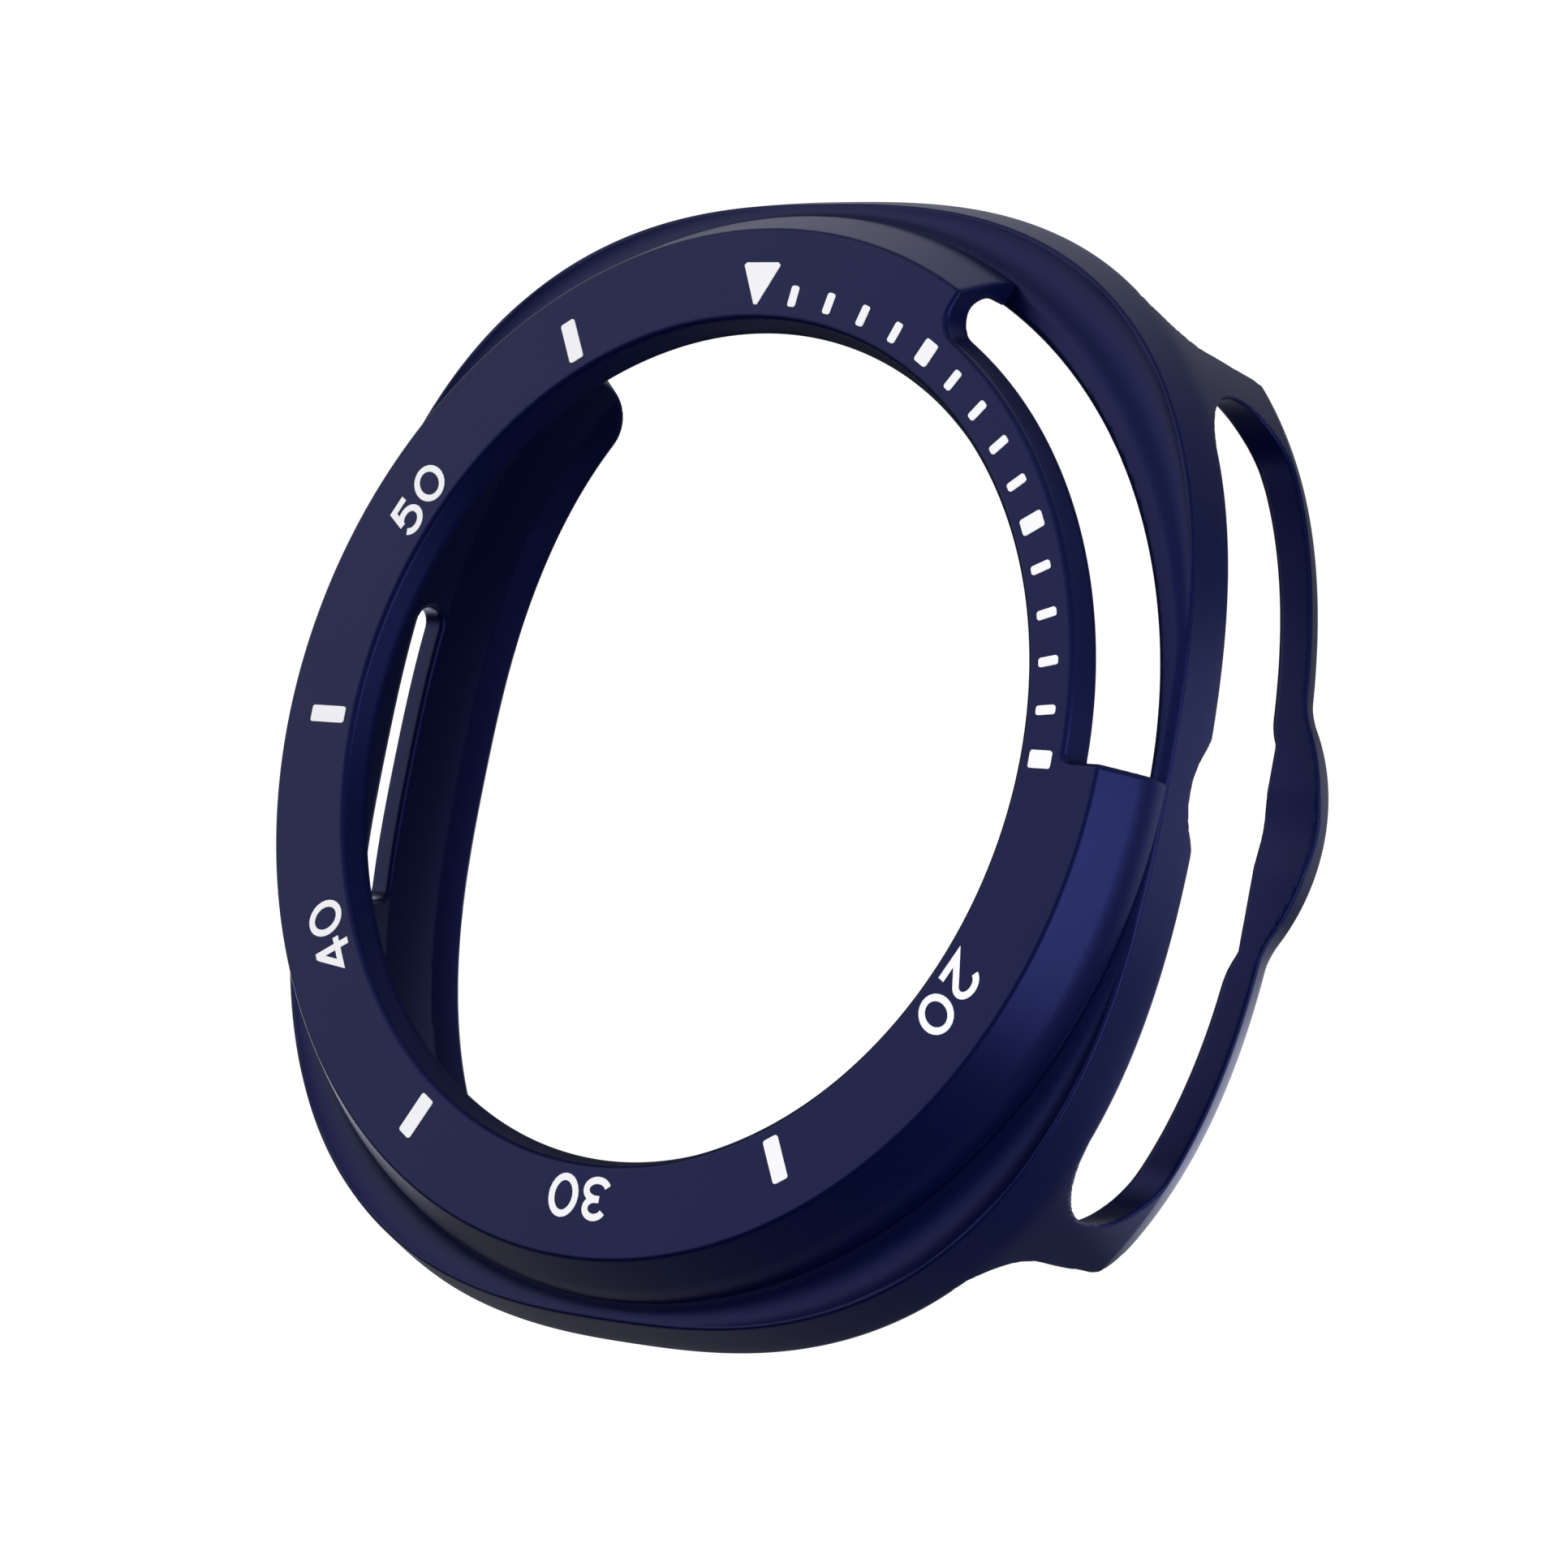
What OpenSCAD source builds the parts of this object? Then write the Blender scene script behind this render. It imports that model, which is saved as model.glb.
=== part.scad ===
// Bumper case for a cushion-shaped smartwatch with a round turning bezel.
// The frame covers the watch's shoulder and two sides, and leaves the strap ends open.
// The bezel ring stands on the frame's deck and covers the watch's own bezel.
// Frame of reference: Z is the dial axis and points out of the dial, Y points to
// 12 o'clock, X to 3 o'clock and the buttons. The origin is on the dial axis, in the
// mouth of the bezel bore, which is the plane that rests on the watch's shoulder.

/* [Watch] */
// Width of the watch body, 9 to 3 o'clock
watch_w = 46; // [44:0.1:48]
// Length of the watch body, 12 to 6 o'clock
watch_l = 46.7; // [45:0.1:48.5]
// Radius of the watch's turning bezel
watch_bezel_r = 22.9; // [21.6:0.1:22.9]
// Room all round between the watch body and the walls
body_gap = 0.15; // [0.05:0.05:0.4]
// Room all round between the turning bezel and its bore
bezel_gap = 0.2; // [0.1:0.05:0.4]

/* [Frame] */
// Wall of the frame's skirt and guards
wall_t = 1.2; // [0.9:0.05:1.8]
// Fullness of the outline's corners, 2 is an ellipse and more is squarer
fullness = 2.58; // [2.2:0.02:3.2]
// Thickness of the deck round the bezel bore
deck_t = 1.3; // [0.9:0.1:2]
// Drop of the outer crease below the deck's seat
crease_drop = 0.17; // [0.05:0.01:0.4]
// Depth of the hollow between the ring's foot and the crease, for each mm between them
scoop_ratio = 0.14; // [0:0.01:0.2]
// Chamfer round the top of the bezel bore
bore_chamfer = 0.3; // [0.1:0.05:0.5]
// How far the skirt leans out between crease and shoulder at 3 and 9 o'clock
lean_x = 0.33; // [0.05:0.01:0.4]
// How far the skirt leans out between crease and shoulder at 12 and 6 o'clock
lean_y = 0.8; // [0.2:0.05:1.4]
// Extra length at each end, for the strap's joint
strap_flare = 1.1; // [0.4:0.1:2]
// Drop of the skirt's lower edge below the deck's underside
skirt_drop = 0.9; // [0.4:0.1:1.6]
// Where the hollow is deepest, as a share of the way from the seat to the crease
scoop_place = 0.55; // [0.3:0.05:0.7]

/* [Guards] */
// Depth of the side guards below the deck's underside
guard_depth = 8.9; // [7.5:0.1:11]
// Half length of the side guards at their feet
guard_half_l = 19.45; // [18.5:0.05:20.5]
// How much longer a guard is at the skirt than at its foot, at each end
guard_taper = 0.6; // [0.2:0.05:1]
// Radius where a guard's end runs into the skirt's lower edge
guard_fillet_r = 2.4; // [0.6:0.1:3]
// Radius of the lower corners of the guard at 3 o'clock
guard_corner_r = 2.2; // [0.5:0.1:3.5]
// Radius of the lower corners of the guard at 9 o'clock
plain_corner_r = 2.3; // [0.5:0.1:3.5]
// How much longer the guard at 9 o'clock is, at each end
plain_extra = 0.2; // [0:0.05:0.4]
// Rounding of a guard's lower outer edge
guard_edge_r = 1.1; // [0.4:0.1:1.4]
// Thickness of a guard at its foot, where it curls under the watch
foot_t = 2.1; // [1.6:0.1:2.6]
// Thickness of a guard at the height of the button rail's top
rail_t = 1.6; // [1.3:0.1:2]
// Where a guard's wall starts to curl in, as a share of the window's height
curl_start = 0.45; // [0.3:0.05:0.7]

/* [Button window] */
// Half length of the window
window_half_l = 17.75; // [15:0.05:18.2]
// Height of the rail below the window
rail_h = 1.5; // [1.2:0.1:2.4]
// Drop of the window's top below the deck's underside
window_drop = 1.15; // [0.95:0.05:2]
// Radius of the round relief above the middle button
relief_r = 3.6; // [2.8:0.1:4.4]
// How far the relief rises above the window's top
relief_rise = 0.75; // [0.2:0.05:0.8]
// Radius of the rail's bow round the middle button
bow_r = 8.9; // [7:0.1:12]
// How far the bow stands out from the rail
bow_out = 1.45; // [0.5:0.05:2]
// Depth of the clearance behind the bow
bow_pocket = 0.3; // [0.1:0.05:0.5]
// Half length of the clearance behind the bow
bow_pocket_half_l = 4.8; // [3:0.1:6]
// Shift of that clearance towards 12 o'clock
bow_pocket_shift = -0.8; // [-1.5:0.1:1.5]

/* [Speaker slot] */
// Length of the slot in the guard at 9 o'clock
slot_l = 14; // [8:0.5:20]
// Height of the slot
slot_h = 1.65; // [0.9:0.05:2]
// Drop of the slot's middle below the deck's underside
slot_drop = 3.65; // [2.6:0.05:5.5]

/* [Bezel ring] */
// Height of the ring above its seat
ring_h = 3.1; // [2.4:0.1:4.5]
// Thickness of the ring's top plate
plate_t = 1.3; // [1:0.05:1.6]
// Radius of the opening over the display
aperture_r = 18.4; // [17:0.1:18.8]
// Width of the bevel round the display opening, seen from above
lip_w = 0.3; // [0.2:0.05:0.8]
// Height of the straight edge round the display opening
lip_h = 0.2; // [0.1:0.05:0.5]
// Radius that rolls the bevel into the top face
lip_r = 0.3; // [0.3:0.05:0.9]
// Height of that roll, as a share of its radius
lip_roll = 0.4; // [0.2:0.05:0.8]
// Width of the outer bevel, seen from above
bevel_w = 1.12; // [0.6:0.02:1.6]
// Drop of the outer bevel
bevel_h = 1.65; // [1:0.05:2]
// Width of the soft edge between bevel and skirt
soft_w = 0.23; // [0.1:0.01:0.4]
// Height of the soft edge between bevel and skirt
soft_h = 0.45; // [0.2:0.05:0.6]
// Outer radius of the ring's skirt
skirt_r = 24.2; // [23.8:0.05:24.6]
// Fillet under the plate, where it meets the skirt
root_r = 0.9; // [0.3:0.1:1.2]

/* [Finger window] */
// Minute mark where the window starts
finger_start_min = 4.85; // [2:0.05:8]
// Minute mark where the window ends
finger_end_min = 15; // [12:0.05:18]
// Radius of the band that stays inside the window, at the top face
band_r = 20.8; // [20.5:0.1:21.4]
// Draft of the band's outer wall
band_draft = 0.4; // [0.1:0.05:0.6]
// Rounding of the window's inner corner at its start
finger_start_r = 1.2; // [0.4:0.1:1.6]
// Rounding of the window's inner corner at its end
finger_end_r = 0.35; // [0.2:0.05:1.2]

/* [Dial marks] */
// Height of the marks above the top face
mark_h = 0.06; // [0.05:0.01:0.3]
// Radius of the marks' inner ends
mark_r = 19.35; // [19.1:0.05:19.6]
// Length of a minute tick
tick_l = 0.95; // [0.6:0.05:1.3]
// Width of a minute tick
tick_w = 0.4; // [0.3:0.05:0.7]
// Length of a block
block_l = 1.1; // [0.8:0.02:1.36]
// Width of a block
block_w = 0.76; // [0.5:0.02:1.2]
// Length of a bar
bar_l = 2; // [1:0.05:2.6]
// Width of a bar
bar_w = 0.76; // [0.5:0.02:1.2]
// Width of the triangle at zero
triangle_w = 2; // [1.4:0.1:3]
// Length of the triangle at zero
triangle_l = 1.9; // [1.4:0.05:2.6]
// Width of the triangle's blunt tip
triangle_tip_w = 0.14; // [0.1:0.02:0.5]
// Rounding of the corners of ticks, blocks and bars, and cut of the triangle's
mark_corner_r = 0.12; // [0.05:0.01:0.14]

/* [Hidden] */

navy = [0.07, 0.08, 0.22];
white = [0.97, 0.97, 0.99];

LOFT_STEPS = 144; // steps round the frame's outline
ARC_FN = 96; // fineness of round features
MARK_FN = 24; // fineness of the marks' corners
SEAT_TUCK = 0.05; // the seat always ends this far inside the crease
BORE_TUCK = 0.4; // the lofted deck starts this far inside the bore that is cut in it
EPS = 0.01;
OVER = 1; // how far a cut runs past what it cuts
CUT = 60; // longer than anything it cuts

bore_r = watch_bezel_r + bezel_gap;
half_w = watch_w / 2 + body_gap + wall_t;
half_l = watch_l / 2 + body_gap + wall_t + strap_flare;
seat_z = deck_t;
crease_z = seat_z - crease_drop;
shoulder_z = -skirt_drop;
foot_z = -guard_depth;
rail_z = foot_z + rail_h;
window_top_z = -window_drop;
top_z = seat_z + ring_h;
plate_z = top_z - plate_t;
curl_z = rail_z + curl_start * (window_top_z - rail_z);

// Where a guard's end meets the outline, and the direction the outline faces there
end_x = half_w * pow(1 - pow(guard_half_l / half_l, fullness), 1 / fullness);
end_turn = atan2(
    pow(guard_half_l / half_l, fullness - 1) / half_l,
    pow(end_x / half_w, fullness - 1) / half_w
);
end_s = guard_half_l * cos(end_turn) - end_x * sin(end_turn);
end_lean = atan2(guard_taper, guard_depth - skirt_drop);
function end_edge(z) = end_s + guard_taper * (z - foot_z) / (guard_depth - skirt_drop);

tick_minutes = [for (m = [1:14]) if (m % 5 != 0) m];
block_minutes = [5, 10, 15];
bar_minutes = [25, 35, 45, 55];

function minute_angle(m) = 90 - 6 * m;
function polar(r, a) = [r * cos(a), r * sin(a)];

// Radius of a squircle with half axes a and b in the direction of angle t
function squircle_r(a, b, n, t) =
    pow(pow(abs(cos(t)) / a, n) + pow(abs(sin(t)) / b, n), -1 / n);

// Radius of the crease, and of the line inside it where the seat ends
function crease_r(t) = squircle_r(half_w - lean_x, half_l - lean_y, fullness, t);
function seat_edge_r(t) = min(skirt_r, crease_r(t) - SEAT_TUCK);

// A station is one closed line of points round the frame
function station(radii, heights) =
    [for (i = [0:LOFT_STEPS - 1])
        let (t = 360 * i / LOFT_STEPS)
        [radii[i] * cos(t), radii[i] * sin(t), heights[i]]];
function each_step(f) = [for (i = [0:LOFT_STEPS - 1]) f(360 * i / LOFT_STEPS)];
function round_station(r, z) = station(each_step(function (t) r), each_step(function (t) z));
function wall_station(inset, z) =
    station(
        each_step(function (t) squircle_r(half_w - inset, half_l - inset, fullness, t)),
        each_step(function (t) z)
    );

// Joins closed stations into one ring-shaped solid: the last one meets the first again
module loft_loop(stations) {
    rows = len(stations);
    points = [for (s = stations) each s];
    faces = [for (k = [0:rows - 1], i = [0:LOFT_STEPS - 1])
        let (
            j = (i + 1) % LOFT_STEPS,
            a = k * LOFT_STEPS,
            b = ((k + 1) % rows) * LOFT_STEPS
        )
        each [[a + i, a + j, b + j], [a + i, b + j, b + i]]];
    polyhedron(points, faces, convexity = 8);
}

// The lowest line of the hollow between the seat and the crease
scoop_station = station(
    each_step(function (t) seat_edge_r(t) + scoop_place * (crease_r(t) - seat_edge_r(t))),
    each_step(function (t)
        seat_z - scoop_place * crease_drop - scoop_ratio * (crease_r(t) - seat_edge_r(t)))
);

// The frame's wall all round, with its deck: down the outside, up the inside
frame_stations = [
    round_station(bore_r - BORE_TUCK, seat_z),
    station(each_step(function (t) seat_edge_r(t)), each_step(function (t) seat_z)),
    scoop_station,
    station(each_step(function (t) crease_r(t)), each_step(function (t) crease_z)),
    wall_station(0, shoulder_z),
    wall_station(0, foot_z + guard_edge_r),
    for (a = [30, 60, 90])
        wall_station(guard_edge_r * (1 - cos(a)), foot_z + guard_edge_r * (1 - sin(a))),
    wall_station(foot_t, foot_z),
    wall_station(rail_t, rail_z),
    wall_station(wall_t, curl_z),
    wall_station(wall_t, 0),
    round_station(bore_r - BORE_TUCK, 0)
];

// What lies outside a circle in the corner that it rounds. past holds the corner point
// and one point on each side of it, a little beyond the sides that the circle touches
module corner_rest(centre, r, past) {
    difference() {
        polygon([centre, each past]);
        translate(centre)
            circle(r = r, $fn = ARC_FN);
    }
}

// What is cut away past a guard's end, seen along the wall: it runs into the skirt's
// lower edge in a fillet, and rounds the guard's lower corner
module guard_end_outline(corner_r) {
    side = [cos(end_lean), -sin(end_lean)];
    fillet = [end_edge(shoulder_z - guard_fillet_r) + guard_fillet_r / cos(end_lean),
              shoulder_z - guard_fillet_r];
    corner = [end_edge(foot_z + corner_r) - corner_r / cos(end_lean), foot_z + corner_r];
    difference() {
        polygon([
            [end_edge(foot_z), foot_z - OVER],
            [end_edge(foot_z), foot_z],
            [end_edge(shoulder_z), shoulder_z],
            [CUT, shoulder_z],
            [CUT, foot_z - OVER]
        ]);
        corner_rest(fillet, guard_fillet_r, [
            fillet - (guard_fillet_r + OVER) * side,
            [end_edge(shoulder_z) - OVER, shoulder_z + OVER],
            [fillet[0], shoulder_z + OVER]
        ]);
    }
    corner_rest(corner, corner_r, [
        corner + (corner_r + OVER) * side,
        [end_edge(foot_z) + OVER, foot_z - OVER],
        [corner[0], foot_z - OVER]
    ]);
}

// The guards' end faces stand square to the wall, so each corner has its own cut
module guard_end_cuts() {
    for (sx = [0, 1], sy = [0, 1])
        mirror([sx, 0, 0])
            mirror([0, sy, 0])
                rotate([0, 0, end_turn])
                    along_x(half_l * sin(end_turn) / 2, CUT)
                        translate([sx * plain_extra, 0])
                            guard_end_outline(sx == 0 ? guard_corner_r : plain_corner_r);
}

// Turns a drawing in Y and Z into a bar along +X that starts at x
module along_x(x, length) {
    translate([x, 0, 0])
        rotate([90, 0, 90])
            linear_extrude(height = length)
                children();
}

// A slot with round ends, in Y and Z
module slot_shape(length, height, z) {
    reach = (length - height) / 2;
    translate([-reach, z - height / 2])
        square([2 * reach, height]);
    for (side = [-1, 1])
        translate([side * reach, z])
            circle(d = height, $fn = ARC_FN);
}

// Outline of the button window, with a round relief over the middle button
module window_outline() {
    slot_shape(2 * window_half_l, window_top_z - rail_z, (window_top_z + rail_z) / 2);
    translate([0, window_top_z + relief_rise - relief_r])
        circle(r = relief_r, $fn = ARC_FN);
}

// The rail bows out round the middle button, with the guard's rounded lower edge
module rail_bow() {
    turn = bow_r - guard_edge_r;
    intersection() {
        translate([half_w + bow_out - bow_r, 0, foot_z])
            rotate_extrude($fn = ARC_FN)
                union() {
                    square([turn, rail_h]);
                    translate([0, guard_edge_r])
                        square([bow_r, rail_h - guard_edge_r]);
                    translate([turn, guard_edge_r])
                        circle(r = guard_edge_r, $fn = ARC_FN);
                }
        translate([half_w - rail_t / 2, -CUT / 2, foot_z])
            cube([CUT, CUT, rail_h]);
    }
}

module guard_frame() {
    color(navy)
    difference() {
        union() {
            loft_loop(frame_stations);
            rail_bow();
        }
        translate([0, 0, -EPS])
            cylinder(r = bore_r, h = deck_t + 2 * EPS, $fn = ARC_FN);
        translate([0, 0, seat_z - bore_chamfer])
            cylinder(r1 = bore_r, r2 = bore_r + bore_chamfer, h = bore_chamfer, $fn = ARC_FN);
        guard_end_cuts();
        along_x(half_w / 2, CUT)
            window_outline();
        along_x(-half_w - CUT / 2, CUT / 2 + half_w / 2)
            slot_shape(slot_l, slot_h, -slot_drop);
        translate([0, bow_pocket_shift - bow_pocket_half_l, foot_z - EPS])
            cube([half_w - rail_t + bow_pocket, 2 * bow_pocket_half_l, rail_h + 2 * EPS]);
    }
}

// Half section of the ring, from the display opening out to the foot of its skirt
module ring_section() {
    lip_top_r = aperture_r + lip_w;
    roll = [for (a = [0:22.5:67.5])
        [lip_top_r + lip_r * (1 - cos(a)), top_z - lip_roll * lip_r * (1 - sin(a))]];
    root = [for (a = [0:15:90])
        [bore_r - root_r * (1 - cos(a)), plate_z - root_r * (1 - sin(a))]];
    polygon(concat(
        [[aperture_r, plate_z], [aperture_r, plate_z + lip_h]],
        roll,
        [
            [lip_top_r + lip_r, top_z],
            [skirt_r - soft_w - bevel_w, top_z],
            [skirt_r - soft_w, top_z - bevel_h],
            [skirt_r, top_z - bevel_h - soft_h],
            [skirt_r, seat_z],
            [bore_r, seat_z]
        ],
        root
    ));
}

// Section of what the finger window takes away, with the band's drafted wall inside
module finger_section() {
    polygon([
        [band_r - EPS * band_draft, top_z + EPS],
        [skirt_r + OVER, top_z + EPS],
        [skirt_r + OVER, seat_z - EPS],
        [band_r + band_draft, seat_z - EPS],
        [band_r + band_draft, plate_z]
    ]);
}

// Plan of the corner that stays where the band meets an end face of the window:
// end is the end face's angle, and side is +1 where the window lies clockwise of it
module finger_corner(end, side, r) {
    turn = asin(r / (band_r + r));
    centre = polar(band_r + r, end - side * turn);
    touch_r = (band_r + r) * cos(turn);
    difference() {
        polygon([
            polar(band_r - OVER, end + side),
            polar(touch_r, end + side),
            polar(touch_r, end),
            centre,
            polar(band_r - OVER, end - side * turn)
        ]);
        translate(centre)
            circle(r = r, $fn = ARC_FN);
    }
}

module finger_window() {
    start_a = minute_angle(finger_start_min);
    end_a = minute_angle(finger_end_min);
    difference() {
        rotate([0, 0, end_a])
            rotate_extrude(angle = start_a - end_a, $fn = ARC_FN)
                finger_section();
        translate([0, 0, seat_z - OVER])
            linear_extrude(height = ring_h + 2 * OVER) {
                finger_corner(start_a, 1, finger_start_r);
                finger_corner(end_a, -1, finger_end_r);
            }
    }
}

module bezel_ring() {
    color(navy)
    difference() {
        rotate_extrude($fn = ARC_FN)
            ring_section();
        finger_window();
    }
}

// A flat mark whose inner end lies at mark_r on a minute line
module mark_at(minute) {
    rotate([0, 0, minute_angle(minute)])
        translate([mark_r, 0, top_z])
            linear_extrude(height = mark_h)
                children();
}

module rounded_bar(length, width, r) {
    translate([r, -width / 2])
        square([length - 2 * r, width]);
    translate([0, -width / 2 + r])
        square([length, width - 2 * r]);
    for (x = [r, length - r], y = [-1, 1])
        translate([x, y * (width / 2 - r)])
            circle(r = r, $fn = MARK_FN);
}

module zero_triangle() {
    half = triangle_w / 2;
    color(white)
        mark_at(0)
            polygon([
                [0, -triangle_tip_w / 2],
                [triangle_l - mark_corner_r, -half],
                [triangle_l, -half + mark_corner_r],
                [triangle_l, half - mark_corner_r],
                [triangle_l - mark_corner_r, half],
                [0, triangle_tip_w / 2]
            ]);
}

module minute_ticks() {
    color(white)
        for (m = tick_minutes)
            mark_at(m)
                rounded_bar(tick_l, tick_w, mark_corner_r);
}

module five_minute_blocks() {
    color(white)
        for (m = block_minutes)
            mark_at(m)
                rounded_bar(block_l, block_w, mark_corner_r);
}

module five_minute_bars() {
    color(white)
        for (m = bar_minutes)
            mark_at(m)
                rounded_bar(bar_l, bar_w, mark_corner_r);
}

guard_frame();
bezel_ring();
zero_triangle();
minute_ticks();
five_minute_blocks();
five_minute_bars();
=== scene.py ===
"""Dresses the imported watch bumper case: satin navy mouldings with white dial marks.

The CAD model's frame holds here too: Z is the dial axis, Y points to 12 o'clock, and X
points to 3 o'clock and the buttons. The mouldings are shaped in millimetres, and MM
turns them into Blender's metres. Each moulding is a signed distance field, negative
inside the plastic, so that its edges can be rounded as a mould rounds them.
"""

import logging
from abc import ABC, abstractmethod
from dataclasses import dataclass, field
from enum import Enum
from math import cos, pi, radians, sin

import bpy
import numpy as np
from mathutils import Matrix, Vector


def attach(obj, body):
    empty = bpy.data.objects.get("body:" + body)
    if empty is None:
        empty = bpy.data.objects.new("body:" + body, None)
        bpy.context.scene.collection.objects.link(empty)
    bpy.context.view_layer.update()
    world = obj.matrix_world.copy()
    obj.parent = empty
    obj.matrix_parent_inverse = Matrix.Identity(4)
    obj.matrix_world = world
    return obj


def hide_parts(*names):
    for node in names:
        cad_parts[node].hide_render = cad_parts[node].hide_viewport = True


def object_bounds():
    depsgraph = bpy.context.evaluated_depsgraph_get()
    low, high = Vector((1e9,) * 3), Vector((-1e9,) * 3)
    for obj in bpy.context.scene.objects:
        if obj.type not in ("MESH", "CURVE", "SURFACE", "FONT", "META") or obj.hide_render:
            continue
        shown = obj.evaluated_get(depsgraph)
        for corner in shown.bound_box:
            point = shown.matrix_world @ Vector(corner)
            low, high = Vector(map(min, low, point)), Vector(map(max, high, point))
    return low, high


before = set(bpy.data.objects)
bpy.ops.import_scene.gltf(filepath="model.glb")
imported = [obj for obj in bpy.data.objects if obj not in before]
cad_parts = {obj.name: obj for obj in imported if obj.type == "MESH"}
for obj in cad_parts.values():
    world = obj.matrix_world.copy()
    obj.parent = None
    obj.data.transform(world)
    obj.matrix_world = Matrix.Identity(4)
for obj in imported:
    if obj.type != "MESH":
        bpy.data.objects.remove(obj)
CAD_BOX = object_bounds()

LOG = logging.getLogger("bumper_case")
MM = 0.001
BODY = "root"
SLOPE_REACH = 0.005
PULLS = 3
LEAST_STEEP = 0.3
LONGEST_PULL = 0.05
ARC_POINTS = 25


class Slot(Enum):
    """The names of the material slots."""

    FRAME = "frame_plastic"
    RING = "ring_plastic"
    WHITE = "mark_white"


def srgb(red: float, green: float, blue: float) -> tuple[float, float, float, float]:
    """Turns a display colour into the linear colour that a shader takes.

    Args:
        red: red, from 0 to 255 as on a screen.
        green: green, from 0 to 255.
        blue: blue, from 0 to 255.

    Returns:
        Linear red, green, blue and an alpha of 1.
    """
    def linear(value: float) -> float:
        """Gives one channel's linear value."""
        share = value / 255
        return share / 12.92 if share <= 0.04045 else ((share + 0.055) / 1.055) ** 2.4

    return linear(red), linear(green), linear(blue), 1.0


@dataclass(frozen=True)
class MouldedPlastic:
    """A moulded hard plastic with a fine spark-eroded texture."""

    name: str
    colour: tuple[float, float, float, float]
    shade: tuple[float, float, float, float]
    roughness: float
    roughness_spread: float
    grain_mm: float
    grain_depth_mm: float
    specular: float = 0.5
    gloss_tint: tuple[float, float, float, float] = (1, 1, 1, 1)
    cloud_mm: float = 9
    cloud_detail: float = 3
    grain_detail: float = 2

    def material(self) -> bpy.types.Material:
        """Makes the node material.

        Returns:
            The new material.
        """
        made = bpy.data.materials.new(self.name)
        made.use_nodes = True
        made.diffuse_color = self.colour
        nodes, links = made.node_tree.nodes, made.node_tree.links
        shader = nodes["Principled BSDF"]
        shader.inputs["Specular IOR Level"].default_value = self.specular
        shader.inputs["Specular Tint"].default_value = self.gloss_tint
        place = nodes.new("ShaderNodeTexCoord")

        cloud = nodes.new("ShaderNodeTexNoise")
        cloud.inputs["Scale"].default_value = 1 / (self.cloud_mm * MM)
        cloud.inputs["Detail"].default_value = self.cloud_detail
        tone = nodes.new("ShaderNodeMix")
        tone.data_type = "RGBA"
        tone.inputs["A"].default_value = self.colour
        tone.inputs["B"].default_value = self.shade
        links.new(place.outputs["Object"], cloud.inputs["Vector"])
        links.new(cloud.outputs["Fac"], tone.inputs["Factor"])
        links.new(tone.outputs["Result"], shader.inputs["Base Color"])

        wear = nodes.new("ShaderNodeMapRange")
        wear.inputs["To Min"].default_value = self.roughness - self.roughness_spread
        wear.inputs["To Max"].default_value = self.roughness + self.roughness_spread
        links.new(cloud.outputs["Fac"], wear.inputs["Value"])
        links.new(wear.outputs["Result"], shader.inputs["Roughness"])

        grain = nodes.new("ShaderNodeTexNoise")
        grain.inputs["Scale"].default_value = 1 / (self.grain_mm * MM)
        grain.inputs["Detail"].default_value = self.grain_detail
        relief = nodes.new("ShaderNodeBump")
        relief.inputs["Distance"].default_value = self.grain_depth_mm * MM
        links.new(place.outputs["Object"], grain.inputs["Vector"])
        links.new(grain.outputs["Fac"], relief.inputs["Height"])
        links.new(relief.outputs["Normal"], shader.inputs["Normal"])
        return made


NAVY = MouldedPlastic(
    name="navy_satin_plastic",
    colour=srgb(3, 8, 42),
    shade=srgb(3, 7, 39),
    roughness=0.36,
    roughness_spread=0.03,
    grain_mm=0.12,
    grain_depth_mm=0.002,
    gloss_tint=(0.11, 0.13, 0.54, 1.0),
)
WHITE = MouldedPlastic(
    name="white_mark_plastic",
    colour=srgb(248, 248, 252),
    shade=srgb(243, 243, 248),
    roughness=0.45,
    roughness_spread=0.03,
    grain_mm=0.1,
    grain_depth_mm=0.001,
)


def dress(piece: bpy.types.Object, material: bpy.types.Material) -> None:
    """Gives a piece one material, in all its slots.

    Args:
        piece: a mesh, curve or text object.
        material: the finish.
    """
    piece.data.materials.clear()
    piece.data.materials.append(material)


def cut(a: np.ndarray, b: np.ndarray, r: float) -> np.ndarray:
    """Keeps what lies inside both fields, with the edge between them rounded.

    Args:
        a: one field.
        b: the other field.
        r: radius of the rounded edge.

    Returns:
        The field of the common part.
    """
    return np.minimum(np.maximum(a, b), -r) + np.hypot(np.maximum(a + r, 0), np.maximum(b + r, 0))


def join(a: np.ndarray, b: np.ndarray, r: float) -> np.ndarray:
    """Keeps what lies inside either field, with a fillet in the corner between them.

    Args:
        a: one field.
        b: the other field.
        r: radius of the fillet.

    Returns:
        The field of both parts together.
    """
    return -cut(-a, -b, r)


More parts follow.
